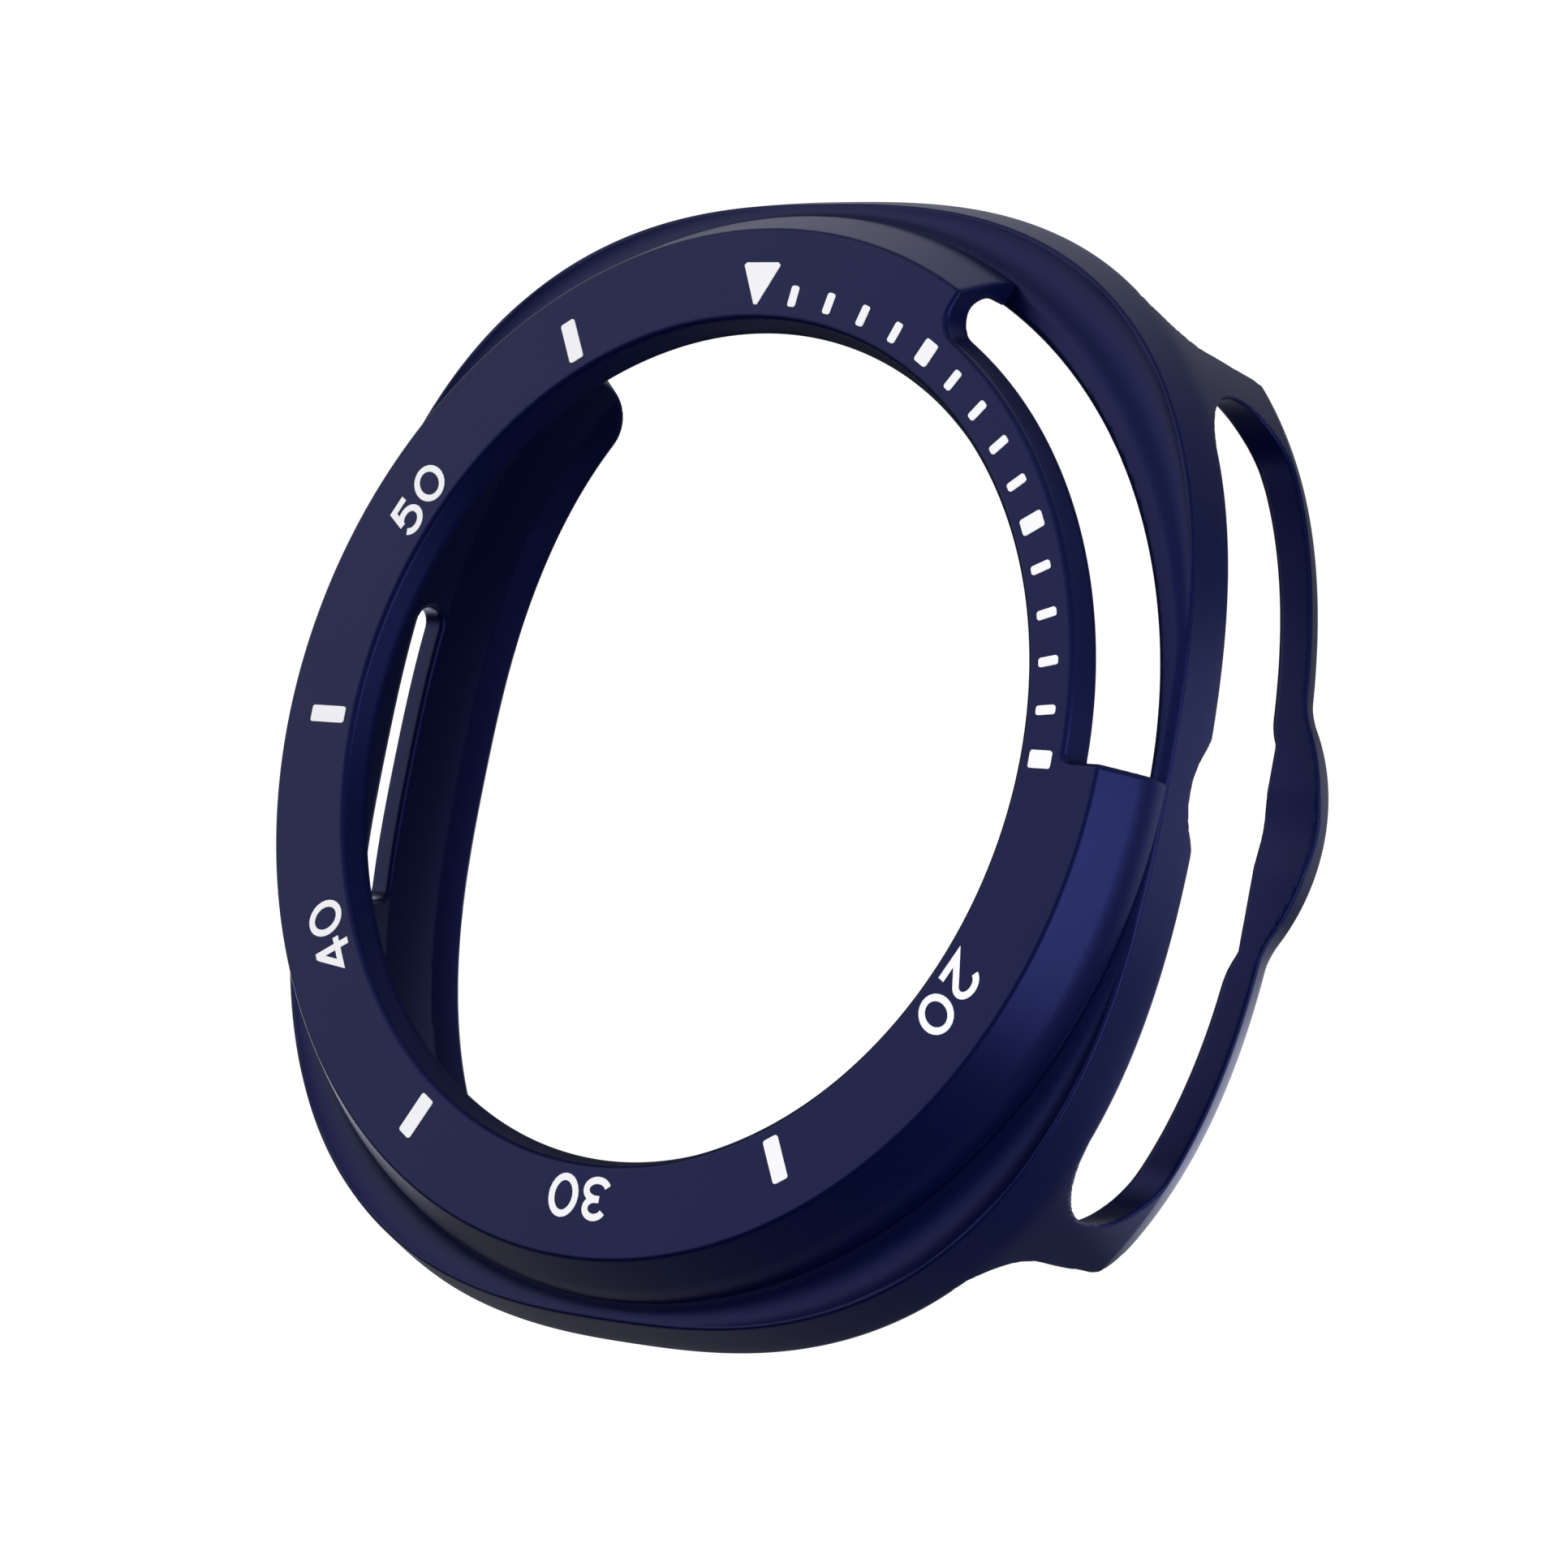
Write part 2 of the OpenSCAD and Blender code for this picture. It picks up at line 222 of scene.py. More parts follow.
@dataclass(frozen=True)
class Squircle:
    """The closed outline (|x| / half_w)^n + (|y| / half_l)^n = 1, n being its fullness."""

    half_w: float
    half_l: float
    fullness: float

    def radius(self, turn: np.ndarray) -> np.ndarray:
        """Gives the outline's distance from the axis.

        Args:
            turn: angles in radians, from 3 o'clock towards 12.

        Returns:
            Radii in mm.
        """
        n = self.fullness
        wide = (np.abs(np.cos(turn)) / self.half_w) ** n
        long = (np.abs(np.sin(turn)) / self.half_l) ** n
        return (wide + long) ** (-1 / n)

    def depth(self, x: np.ndarray, y: np.ndarray) -> tuple[np.ndarray, np.ndarray]:
        """Finds how far both half axes shrink until the outline runs through a point.

        Args:
            x: places in mm.
            y: places in mm.

        Returns:
            The depths, and how many mm of true distance one mm of depth is there.
        """
        n = self.fullness
        x, y = np.maximum(np.abs(x), 1e-6), np.maximum(np.abs(y), 1e-6)
        found = (1 - ((x / self.half_w) ** n + (y / self.half_l) ** n) ** (1 / n)) * self.half_w
        for _ in range(2):
            wide, long = (x / (self.half_w - found)) ** n, (y / (self.half_l - found)) ** n
            steep = n * (wide / (self.half_w - found) + long / (self.half_l - found))
            found = found - (wide + long - 1) / steep
        slope = n * np.hypot(wide / x, long / y)
        return found, steep / slope


@dataclass(frozen=True)
class RimGrid:
    """A grid that runs round an outline, counted by turn, depth and height."""

    outline: Squircle
    turns: int
    depths: np.ndarray
    heights: np.ndarray

    def place(self, turn: np.ndarray, depth: np.ndarray, height: np.ndarray) -> tuple:
        """Turns counts along the grid into places.

        Args:
            turn: steps round the outline.
            depth: steps inward from the outline.
            height: steps upward.

        Returns:
            x, y and z in mm.
        """
        angle = turn * (2 * pi / self.turns)
        inward = np.interp(depth, np.arange(len(self.depths)), self.depths)
        radius = self.outline.radius(angle) - inward
        up = np.interp(height, np.arange(len(self.heights)), self.heights)
        return radius * np.cos(angle), radius * np.sin(angle), up

    def net(self, value: np.ndarray) -> tuple[np.ndarray, np.ndarray]:
        """Spans a net of quads over the surface where a field is zero.

        Args:
            value: the field at each grid point.

        Returns:
            The net's points as grid counts, and its quads, which face outward.
        """
        sums = np.zeros((value.size, 3))
        counts = np.zeros(value.size)
        quads = []
        for axis in range(3):
            ahead = np.roll(value, -1, axis)
            crossed = (value < 0) != (ahead < 0)
            if axis:
                crossed[(slice(None),) * axis + (-1,)] = False
            at = np.argwhere(crossed)
            here, there = value[crossed], ahead[crossed]
            right, up = (axis + 1) % 3, (axis + 2) % 3
            corners = []
            for back in ((0, 0), (1, 0), (1, 1), (0, 1)):
                cell = at.copy()
                cell[:, right] -= back[0]
                cell[:, up] -= back[1]
                cell[:, 0] %= self.turns
                flat = np.ravel_multi_index(tuple(cell.T), value.shape)
                offset = np.empty(at.shape)
                offset[:, axis] = here / (here - there)
                offset[:, right], offset[:, up] = back
                for n in range(3):
                    sums[:, n] += np.bincount(flat, offset[:, n], value.size)
                counts += np.bincount(flat, minlength=value.size)
                corners.append(flat)
            quad = np.stack(corners, 1)
            quad[here >= 0] = quad[here >= 0][:, ::-1]
            quads.append(quad)
        used = np.flatnonzero(counts)
        number = np.zeros(value.size, dtype=np.int64)
        number[used] = np.arange(len(used))
        points = sums[used] / counts[used, None]
        points += np.stack(np.unravel_index(used, value.shape), 1)
        return points, number[np.concatenate(quads)]


def stretches(*parts: tuple[float, float, float]) -> np.ndarray:
    """Lays grid lines over several stretches, each with its own step.

    Args:
        parts: start, end and step of each stretch in mm, in order.

    Returns:
        The lines' places in mm.
    """
    coarse = 1.0
    lines = [
        np.linspace(start, end, max(2, round((end - start) / step / coarse)), endpoint=False)
        for start, end, step in parts
    ]
    return np.concatenate([*lines, [parts[-1][1]]])


class Moulding(ABC):
    """A moulded piece whose surface is the zero of a distance field."""

    name: str
    node: str
    slot: Slot

    @abstractmethod
    def grid(self) -> RimGrid:
        """Gives the grid that the field is read on."""

    @abstractmethod
    def distance(self, x: np.ndarray, y: np.ndarray, z: np.ndarray) -> np.ndarray:
        """Gives the field at places in mm.

        Args:
            x: places in mm.
            y: places in mm.
            z: places in mm.

        Returns:
            Distances in mm, negative inside.
        """

    def slope(self, places: np.ndarray) -> np.ndarray:
        """Measures the field's gradient.

        Args:
            places: points in mm, one a row.

        Returns:
            The gradient at each.
        """
        sides = []
        for axis in range(3):
            step = np.zeros(3)
            step[axis] = SLOPE_REACH
            ahead = self.distance(*(places + step).T)
            behind = self.distance(*(places - step).T)
            sides.append((ahead - behind) / (2 * SLOPE_REACH))
        return np.stack(sides, 1)

    def build(self, material: bpy.types.Material) -> bpy.types.Object:
        """Nets the field, pulls the net onto it and puts the mesh in its node's place.

        Args:
            material: the piece's finish.

        Returns:
            The new object.
        """
        grid = self.grid()
        turn, depth, height = np.ogrid[:grid.turns, :len(grid.depths), :len(grid.heights)]
        points, quads = grid.net(self.distance(*grid.place(turn, depth, height)))
        places = np.stack(grid.place(*points.T), 1)
        for _ in range(PULLS):
            slope = self.slope(places)
            steep = np.maximum((slope ** 2).sum(1, keepdims=True), LEAST_STEEP)
            step = self.distance(*places.T)[:, None] * slope / steep
            places -= np.clip(step, -LONGEST_PULL, LONGEST_PULL)
        normals = self.slope(places)
        normals /= np.maximum(np.linalg.norm(normals, axis=1, keepdims=True), 1e-6)

        mesh = bpy.data.meshes.new(self.name)
        mesh.vertices.add(len(places))
        mesh.vertices.foreach_set("co", (places * MM).ravel())
        mesh.loops.add(quads.size)
        mesh.loops.foreach_set("vertex_index", quads.ravel())
        mesh.polygons.add(len(quads))
        mesh.polygons.foreach_set("loop_start", np.arange(0, quads.size, 4))
        mesh.update(calc_edges=True)
        mesh.shade_smooth()
        mesh.normals_split_custom_set_from_vertices(normals)
        piece = bpy.data.objects.new(self.name, mesh)
        bpy.context.scene.collection.objects.link(piece)
        dress(piece, material)
        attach(piece, BODY)
        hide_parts(self.node)
        LOG.info("%s: %d quads", self.name, len(quads))
        return piece


@dataclass(frozen=True)
class GuardFrame(Moulding):
    """The frame: a scooped deck, a leaning skirt and two guards that curl under."""

    name: str = "guard_frame_moulding"
    node: str = "guard_frame"
    slot: Slot = Slot.FRAME
    outline: Squircle = Squircle(24.35, 25.8, 2.58)
    lean_x: float = 0.33
    lean_y: float = 0.8
    wall: float = 1.2
    foot_wall: float = 2.1
    rail_wall: float = 1.6
    seat_z: float = 1.3
    crease_z: float = 1.13
    shoulder_z: float = -0.9
    curl_z: float = -4.52
    rail_z: float = -7.4
    foot_z: float = -8.9
    bore_r: float = 23.1
    ring_r: float = 24.2
    bore_edge_r: float = 0.3
    scoop_ratio: float = 0.14
    least_scoop: float = 0.3
    seat_edge_r: float = 0.15
    crease_r: float = 0.15
    shoulder_soft: float = 0.5
    foot_edge_r: float = 0.25
    curl: float = 0.28
    curl_growth: float = 0.16
    bow_curl: float = 0.7
    hem_z: float = -1.0
    hem_r: float = 0.12
    end_y: float = 19.45
    end_taper: float = 0.6
    end_fillet_r: float = 2.4
    end_corner_r: float = 2.2
    plain_corner_r: float = 2.3
    plain_extra: float = 0.2
    small_r: float = 0.2
    window_half_l: float = 17.75
    window_top_z: float = -1.15
    window_edge_r: float = 0.15
    relief_r: float = 3.6
    relief_rise: float = 0.75
    relief_blend: float = 0.3
    bow_r: float = 8.9
    bow_out: float = 1.45
    bow_blend: float = 0.3
    bow_h: float = 0.6
    pocket: float = 0.17
    pocket_ramp: float = 2.0
    pocket_half_l: float = 4.8
    pocket_shift: float = -0.8
    pocket_top_z: float = -5
    pocket_start_x: float = 12
    slot_half_l: float = 7.0
    slot_h: float = 1.65
    slot_z: float = -3.65
    turns: int = 800
    quick_turns: int = 380

    def grid(self) -> RimGrid:
        """Gives a grid that is finest along the foot, the shoulder and the deck."""
        turns = self.turns
        depths = stretches((-1.7, -0.2, 0.25), (-0.2, 2.5, 0.135), (2.5, 4.3, 0.22))
        heights = stretches(
            (-9.03, -7.2, 0.13), (-7.2, -1.6, 0.2), (-1.6, 0.5, 0.15), (0.5, 1.42, 0.1)
        )
        return RimGrid(self.outline, turns, depths, heights)

    def deck(self, x: np.ndarray, y: np.ndarray, z: np.ndarray) -> np.ndarray:
        """Gives the field under the seat and the hollow between it and the crease.

        Args:
            x: places in mm.
            y: places in mm.
            z: places in mm.

        Returns:
            Distances in mm.
        """
        n = self.outline.fullness
        wide = (np.abs(x) / (self.outline.half_w - self.lean_x)) ** n
        long = (np.abs(y) / (self.outline.half_l - self.lean_y)) ** n
        radius = np.hypot(x, y)
        crease = radius / (wide + long) ** (1 / n)
        seat = np.minimum(self.ring_r, crease - self.least_scoop)
        width = crease - seat
        share = (radius - seat) / width
        sag = 4 * self.scoop_ratio * width
        drop = self.seat_z - self.crease_z
        within = np.clip(share, 0, 1)
        steep = sag * (2 * within - 1) - drop
        height = self.seat_z - drop * within - sag * within * (1 - within)
        height += (share - within) * steep
        hollow = (z - height) / np.hypot(1, steep / width)
        return cut(z - self.seat_z, hollow, self.seat_edge_r)

    def inset(self, z: np.ndarray) -> np.ndarray:
        """Gives how far the guards' feet curl in under the watch.

        Args:
            z: heights in mm.

        Returns:
            Insets in mm.
        """
        below = np.maximum(self.rail_z - z, 0)
        return self.curl * below + self.curl_growth * below ** 2 / 2

    def skin(self, x: np.ndarray, y: np.ndarray, z: np.ndarray) -> tuple:
        """Gives the fields of the outer wall and of the hollow inside the walls.

        Args:
            x: places in mm.
            y: places in mm.
            z: places in mm.

        Returns:
            Both fields, in mm.
        """
        depth, spread = self.outline.depth(x, y)
        n = self.outline.fullness
        wide = np.abs(x) ** n / self.outline.half_w ** (n + 1)
        long = np.abs(y) ** n / self.outline.half_l ** (n + 1)
        lean = (self.lean_x * wide + self.lean_y * long) / (wide + long)
        lean = lean / (self.crease_z - self.shoulder_z)
        above = z - self.shoulder_z
        above = (above + np.hypot(above, self.shoulder_soft)) / 2
        outside = (lean * above - depth) * spread / np.hypot(1, lean)
        below = np.maximum(self.rail_z - z, 0)
        steep = np.where(below > 0, self.curl + self.curl_growth * below, 0)
        outside = (outside + self.inset(z)) / np.hypot(1, steep)
        wall = np.interp(
            z,
            (self.foot_z, self.rail_z, self.curl_z),
            (self.foot_wall, self.rail_wall, self.wall),
        )
        return outside, (depth - wall) * spread

    def ends(self, x: np.ndarray, y: np.ndarray, z: np.ndarray) -> np.ndarray:
        """Gives the field above the skirt's lower edge and between the guards' ends.

        Args:
            x: places in mm.
            y: places in mm.
            z: places in mm.

        Returns:
            Distances in mm.
        """
        share = (self.end_y / self.outline.half_l) ** (self.outline.fullness - 1)
        end_x = self.outline.half_w * (
            1 - (self.end_y / self.outline.half_l) ** self.outline.fullness
        ) ** (1 / self.outline.fullness)
        rest = (end_x / self.outline.half_w) ** (self.outline.fullness - 1)
        turn = np.arctan2(share / self.outline.half_l, rest / self.outline.half_w)
        along = np.abs(y) * cos(turn) - np.abs(x) * sin(turn)
        end = self.end_y * cos(turn) - end_x * sin(turn)
        lean = self.end_taper / (self.shoulder_z - self.foot_z)
        plain = x < 0
        past = along - end - lean * (z - self.foot_z) - np.where(plain, self.plain_extra, 0)
        past = past / np.hypot(1, lean)
        below = self.foot_z - z
        right = cut(past, below, self.end_corner_r)
        left = cut(past, below, self.plain_corner_r)
        return join(self.hem_z - z, np.where(plain, left, right), self.end_fillet_r)

    def window(self, y: np.ndarray, z: np.ndarray) -> np.ndarray:
        """Gives the field of the button window with its relief, in Y and Z.

        Args:
            y: places in mm.
            z: places in mm.

        Returns:
            Distances in mm, negative inside the opening.
        """
        half_h = (self.window_top_z - self.rail_z) / 2
        reach = np.maximum(np.abs(y) - self.window_half_l + half_h, 0)
        opening = np.hypot(reach, z - self.rail_z - half_h) - half_h
        relief_z = self.window_top_z + self.relief_rise - self.relief_r
        relief = np.hypot(y, z - relief_z) - self.relief_r
        return join(opening, relief, self.relief_blend)

    def speaker(self, y: np.ndarray, z: np.ndarray) -> np.ndarray:
        """Gives the field of the speaker slot, in Y and Z.

        Args:
            y: places in mm.
            z: places in mm.

        Returns:
            Distances in mm, negative inside the opening.
        """
        reach = np.maximum(np.abs(y) - self.slot_half_l + self.slot_h / 2, 0)
        return np.hypot(reach, z - self.slot_z) - self.slot_h / 2

    def distance(self, x: np.ndarray, y: np.ndarray, z: np.ndarray) -> np.ndarray:
        """Gives the whole frame's field.

        Args:
            x: places in mm.
            y: places in mm.
            z: places in mm.

        Returns:
            Distances in mm, negative inside.
        """
        outside, hollow = self.skin(x, y, z)
        bow = np.hypot(x - self.outline.half_w - self.bow_out + self.bow_r, y) - self.bow_r
        bow = bow + self.bow_curl * self.inset(z)
        bow = np.maximum(np.maximum(bow, z - self.rail_z - self.bow_h), self.bow_r - x)
        body = join(outside, bow, self.bow_blend)
        body = cut(body, self.foot_z - z, self.foot_edge_r)
        body = cut(body, self.deck(x, y, z), self.crease_r)
        body = cut(body, self.ends(x, y, z), self.hem_r)
        body = np.where(
            x > 0,
            cut(body, -self.window(y, z), self.window_edge_r),
            cut(body, -self.speaker(y, z), self.small_r),
        )
        body = cut(body, join(hollow, -z, self.small_r), self.small_r)
        into = x - self.outline.half_w + self.rail_wall
        end = np.abs(y - self.pocket_shift) - self.pocket_half_l + self.pocket_ramp * into
        pocket = np.maximum(into - self.pocket, end / np.hypot(1, self.pocket_ramp))
        pocket = np.maximum(np.maximum(pocket, z - self.pocket_top_z), self.pocket_start_x - x)
        body = cut(body, -pocket, self.small_r)
        radius = np.hypot(x, y)
        bore = np.minimum(self.bore_r - radius, z - self.shoulder_z)
        return cut(body, bore, self.bore_edge_r)


@dataclass(frozen=True)
class BezelRing(Moulding):
    """The raised ring round the display, with the finger window over the bezel."""

    name: str = "bezel_ring_moulding"
    node: str = "bezel_ring"
    slot: Slot = Slot.RING
    aperture_r: float = 18.4
    plate_z: float = 3.1
    top_z: float = 4.4
    seat_z: float = 1.3
    lip_w: float = 0.28
    lip_h: float = 0.2
    lip_start: float = 0.3
    lip_r: float = 0.2
    lip_foot_r: float = 0.08
    edge_r: float = 22.85
    bevel_w: float = 1.12
    bevel_h: float = 1.65
    soft_w: float = 0.23
    soft_h: float = 0.45
    skirt_r: float = 24.2
    bore_r: float = 23.1
    root_r: float = 0.9
    top_edge_r: float = 0.12
    soft_r: float = 0.4
    foot_r: float = 0.1
    start_a: float = radians(60.9)
    end_a: float = 0.0
    band_r: float = 21.0
    band_draft: float = 0.4
    corner_r: float = 0.01
    start_r: float = 1.2
    end_r: float = 0.35
    window_edge_r: float = 0.22
    turns: int = 860
    quick_turns: int = 380

    def grid(self) -> RimGrid:
        """Gives a round grid over the ring's section."""
        turns = self.turns
        depths = stretches((-0.12, 2.0, 0.12), (2.0, 4.4, 0.24), (4.4, 6.12, 0.12))
        heights = stretches((1.2, 1.5, 0.1), (1.5, 4.52, 0.13))
        return RimGrid(Squircle(self.skirt_r, self.skirt_r, 2), turns, depths, heights)

    @staticmethod
    def slant(across: float, rise: float, radius: np.ndarray, z: np.ndarray) -> np.ndarray:
        """Gives the distance past a slanted line that falls by rise over across.

        Args:
            across: the line's width in mm.
            rise: the line's height in mm.
            radius: places along the radius, from the line's upper end.
            z: heights, from the line's upper end.

        Returns:
            Distances in mm.
        """
        return (radius * rise + z * across) / np.hypot(rise, across)

    def section(self, radius: np.ndarray, z: np.ndarray) -> np.ndarray:
        """Gives the field of the ring's section before the finger window is cut.

        Args:
            radius: distances from the axis in mm.
            z: heights in mm.

        Returns:
            Distances in mm, negative inside.
        """
        bevel = self.slant(
            self.bevel_w, self.bevel_h, radius - self.edge_r, z - self.top_z
        )
        soft = self.slant(
            self.soft_w, self.soft_h, radius - self.skirt_r,
            z - self.top_z + self.bevel_h + self.soft_h,
        )
        side = cut(cut(bevel, soft, self.soft_r), radius - self.skirt_r, self.soft_r)
        body = cut(side, z - self.top_z, self.top_edge_r)
        lip_rise = self.top_z - self.lip_start - self.plate_z - self.lip_h
        lip = self.slant(
            self.lip_w, lip_rise, self.aperture_r - radius, z - self.plate_z - self.lip_h
        )
        body = cut(body, lip, self.lip_r)
        body = cut(body, self.aperture_r - radius, self.lip_foot_r)
        inside = join(self.bore_r - radius, self.plate_z - z, self.root_r)
        body = cut(body, inside, self.lip_foot_r)
        return cut(body, self.seat_z - z, self.foot_r)

    def distance(self, x: np.ndarray, y: np.ndarray, z: np.ndarray) -> np.ndarray:
        """Gives the whole ring's field.

        Args:
            x: places in mm.
            y: places in mm.
            z: places in mm.

        Returns:
            Distances in mm, negative inside.
        """
        radius = np.hypot(x, y)
        body = self.section(radius, z)
        fall = (self.top_z - z) * self.band_draft / (self.top_z - self.plate_z)
        band = radius - self.band_r - np.minimum(fall, self.band_draft)
        start = x * sin(self.start_a) - y * cos(self.start_a)
        end = y * cos(self.end_a) - x * sin(self.end_a)
        kept = join(join(start, band, self.start_r), join(end, band, self.end_r), self.corner_r)
        return cut(body, kept, self.window_edge_r)


def arc(centre: tuple, radii: tuple, start: float, end: float) -> list[tuple[float, float]]:
    """Lays points along part of an ellipse.

    Args:
        centre: the ellipse's centre in mm.
        radii: its half width and half height in mm.
        start: first angle in degrees.
        end: last angle in degrees.

    Returns:
        The points, in order.
    """
    turns = np.radians(np.linspace(start, end, ARC_POINTS))
    return [
        (centre[0] + radii[0] * cos(turn), centre[1] + radii[1] * sin(turn)) for turn in turns
    ]


@dataclass
class DialNumerals:
    """The white tens round the dial, drawn with an even stroke, their tops turned outward."""

    minutes: tuple[int, ...] = (20, 30, 40, 50)
    centre_r: float = 20.22
    apart: float = 0.91
    stroke: float = 0.31
    half_w: float = 0.66
    half_h: float = 0.8
    top_z: float = 4.4
    rise: float = 0.02
    sink: float = 0.04
    lift: float = 0.002

    def digit(self, name: str) -> list[list[tuple[float, float]]]:
        """Gives the centre lines of a digit's strokes.

        Args:
            name: the digit.

        Returns:
            The strokes' points, in mm from the digit's middle.
        """
        w, h = self.half_w, self.half_h
        lines = {
            "0": [arc((0, 0), (w, h), 0, 360)],
            "2": [[
                *arc((0, 0.42 * h), (0.86 * w, 0.58 * h), 165, -38),
                (-0.86 * w, -h),
                (0.94 * w, -h),
            ]],
            "3": [
                [*arc((0, 0.51 * h), (0.78 * w, 0.49 * h), 160, -90), (-0.3 * w, 0.02 * h)],
                [(-0.3 * w, 0.02 * h), *arc((0, -0.49 * h), (0.9 * w, 0.51 * h), 90, -160)],
            ],
            "4": [
                [(0.3 * w, h), (-0.96 * w, -0.4 * h), (1.1 * w, -0.4 * h)],
                [(0.42 * w, h + self.stroke / 2), (0.42 * w, -h - self.stroke / 2)],
            ],
            "5": [
                [(0.76 * w, h), (-0.58 * w, h), (-0.74 * w, -0.1 * h)],
                arc((-0.03 * w, -0.32 * h), (0.87 * w, 0.68 * h), 148, -155),
            ],
        }
        return lines[name]

    def ribbon(self, line: list[tuple[float, float]]) -> tuple[np.ndarray, np.ndarray]:
        """Finds the two edges of a stroke, mitred at its corners.

        Args:
            line: the stroke's centre line.

        Returns:
            The points of the left edge and those of the right.
        """
        line = np.array(line)
        closed = np.allclose(line[0], line[-1])
        way = np.diff(line, axis=0)
        way /= np.linalg.norm(way, axis=1, keepdims=True)
        first, last = (way[-1], way[0]) if closed else (way[0], way[-1])
        before, after = np.vstack([first, way]), np.vstack([way, last])
        across = np.stack([-(before + after)[:, 1], (before + after)[:, 0]], 1)
        across /= (1 + (before * after).sum(1))[:, None]
        return line + across * self.stroke / 2, line - across * self.stroke / 2

    def strokes(self, minute: int) -> tuple[list, list]:
        """Raises a numeral's strokes into thin bars.

        Args:
            minute: the numeral.

        Returns:
            The bars' corners in mm and their faces.
        """
        corners, faces = [], []
        lines = [
            (side, line)
            for side, name in zip((-self.apart, self.apart), str(minute))
            for line in self.digit(name)
        ]
        for order, (side, line) in enumerate(lines):
            left, right = self.ribbon(line)
            top = self.rise + self.lift * order
            start = len(corners)
            for step, ((lx, ly), (rx, ry)) in enumerate(zip(left, right)):
                at = len(corners)
                corners += [
                    (lx + side, ly, top),
                    (rx + side, ry, top),
                    (rx + side, ry, -self.sink),
                    (lx + side, ly, -self.sink),
                ]
                if step:
                    faces += [
                        (at + n, at - 4 + n, at - 4 + (n + 1) % 4, at + (n + 1) % 4)
                        for n in range(4)
                    ]
            if not np.allclose(left[0], left[-1]):
                faces += [(at, at + 1, at + 2, at + 3)]
                faces += [(start + 3, start + 2, start + 1, start)]
        return corners, faces

    def build(self, material: bpy.types.Material) -> None:
        """Draws each numeral, turns it to its minute and lets it ride on the ring.

        Args:
            material: the numerals' finish.
        """
        for minute in self.minutes:
            corners, faces = self.strokes(minute)
            mesh = bpy.data.meshes.new(f"numeral_{minute}")
            mesh.from_pydata([(x * MM, y * MM, z * MM) for x, y, z in corners], [], faces)
            piece = bpy.data.objects.new(f"numeral_{minute}", mesh)
            bpy.context.scene.collection.objects.link(piece)
            angle = radians(90 - 6 * minute)
            place = Vector((cos(angle), sin(angle), 0)) * self.centre_r * MM
            place.z = self.top_z * MM
            turn = Matrix.Rotation(angle - pi / 2, 4, "Z")
            piece.matrix_world = Matrix.Translation(place) @ turn
            dress(piece, material)
            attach(piece, BODY)
            LOG.info("numeral %s", minute)


@dataclass(frozen=True)
class Glow:
    """A soft bright side of the room."""

    towards: tuple[float, float, float]
    edge: float
    strength: float


@dataclass(frozen=True)
class Patch:
    """A round painted glow on the floor that only the plastic's gloss mirrors, as a painted
    reflection.
    """

    centre: tuple[float, float]
    full_r: float
    fade_r: float
    strength: float


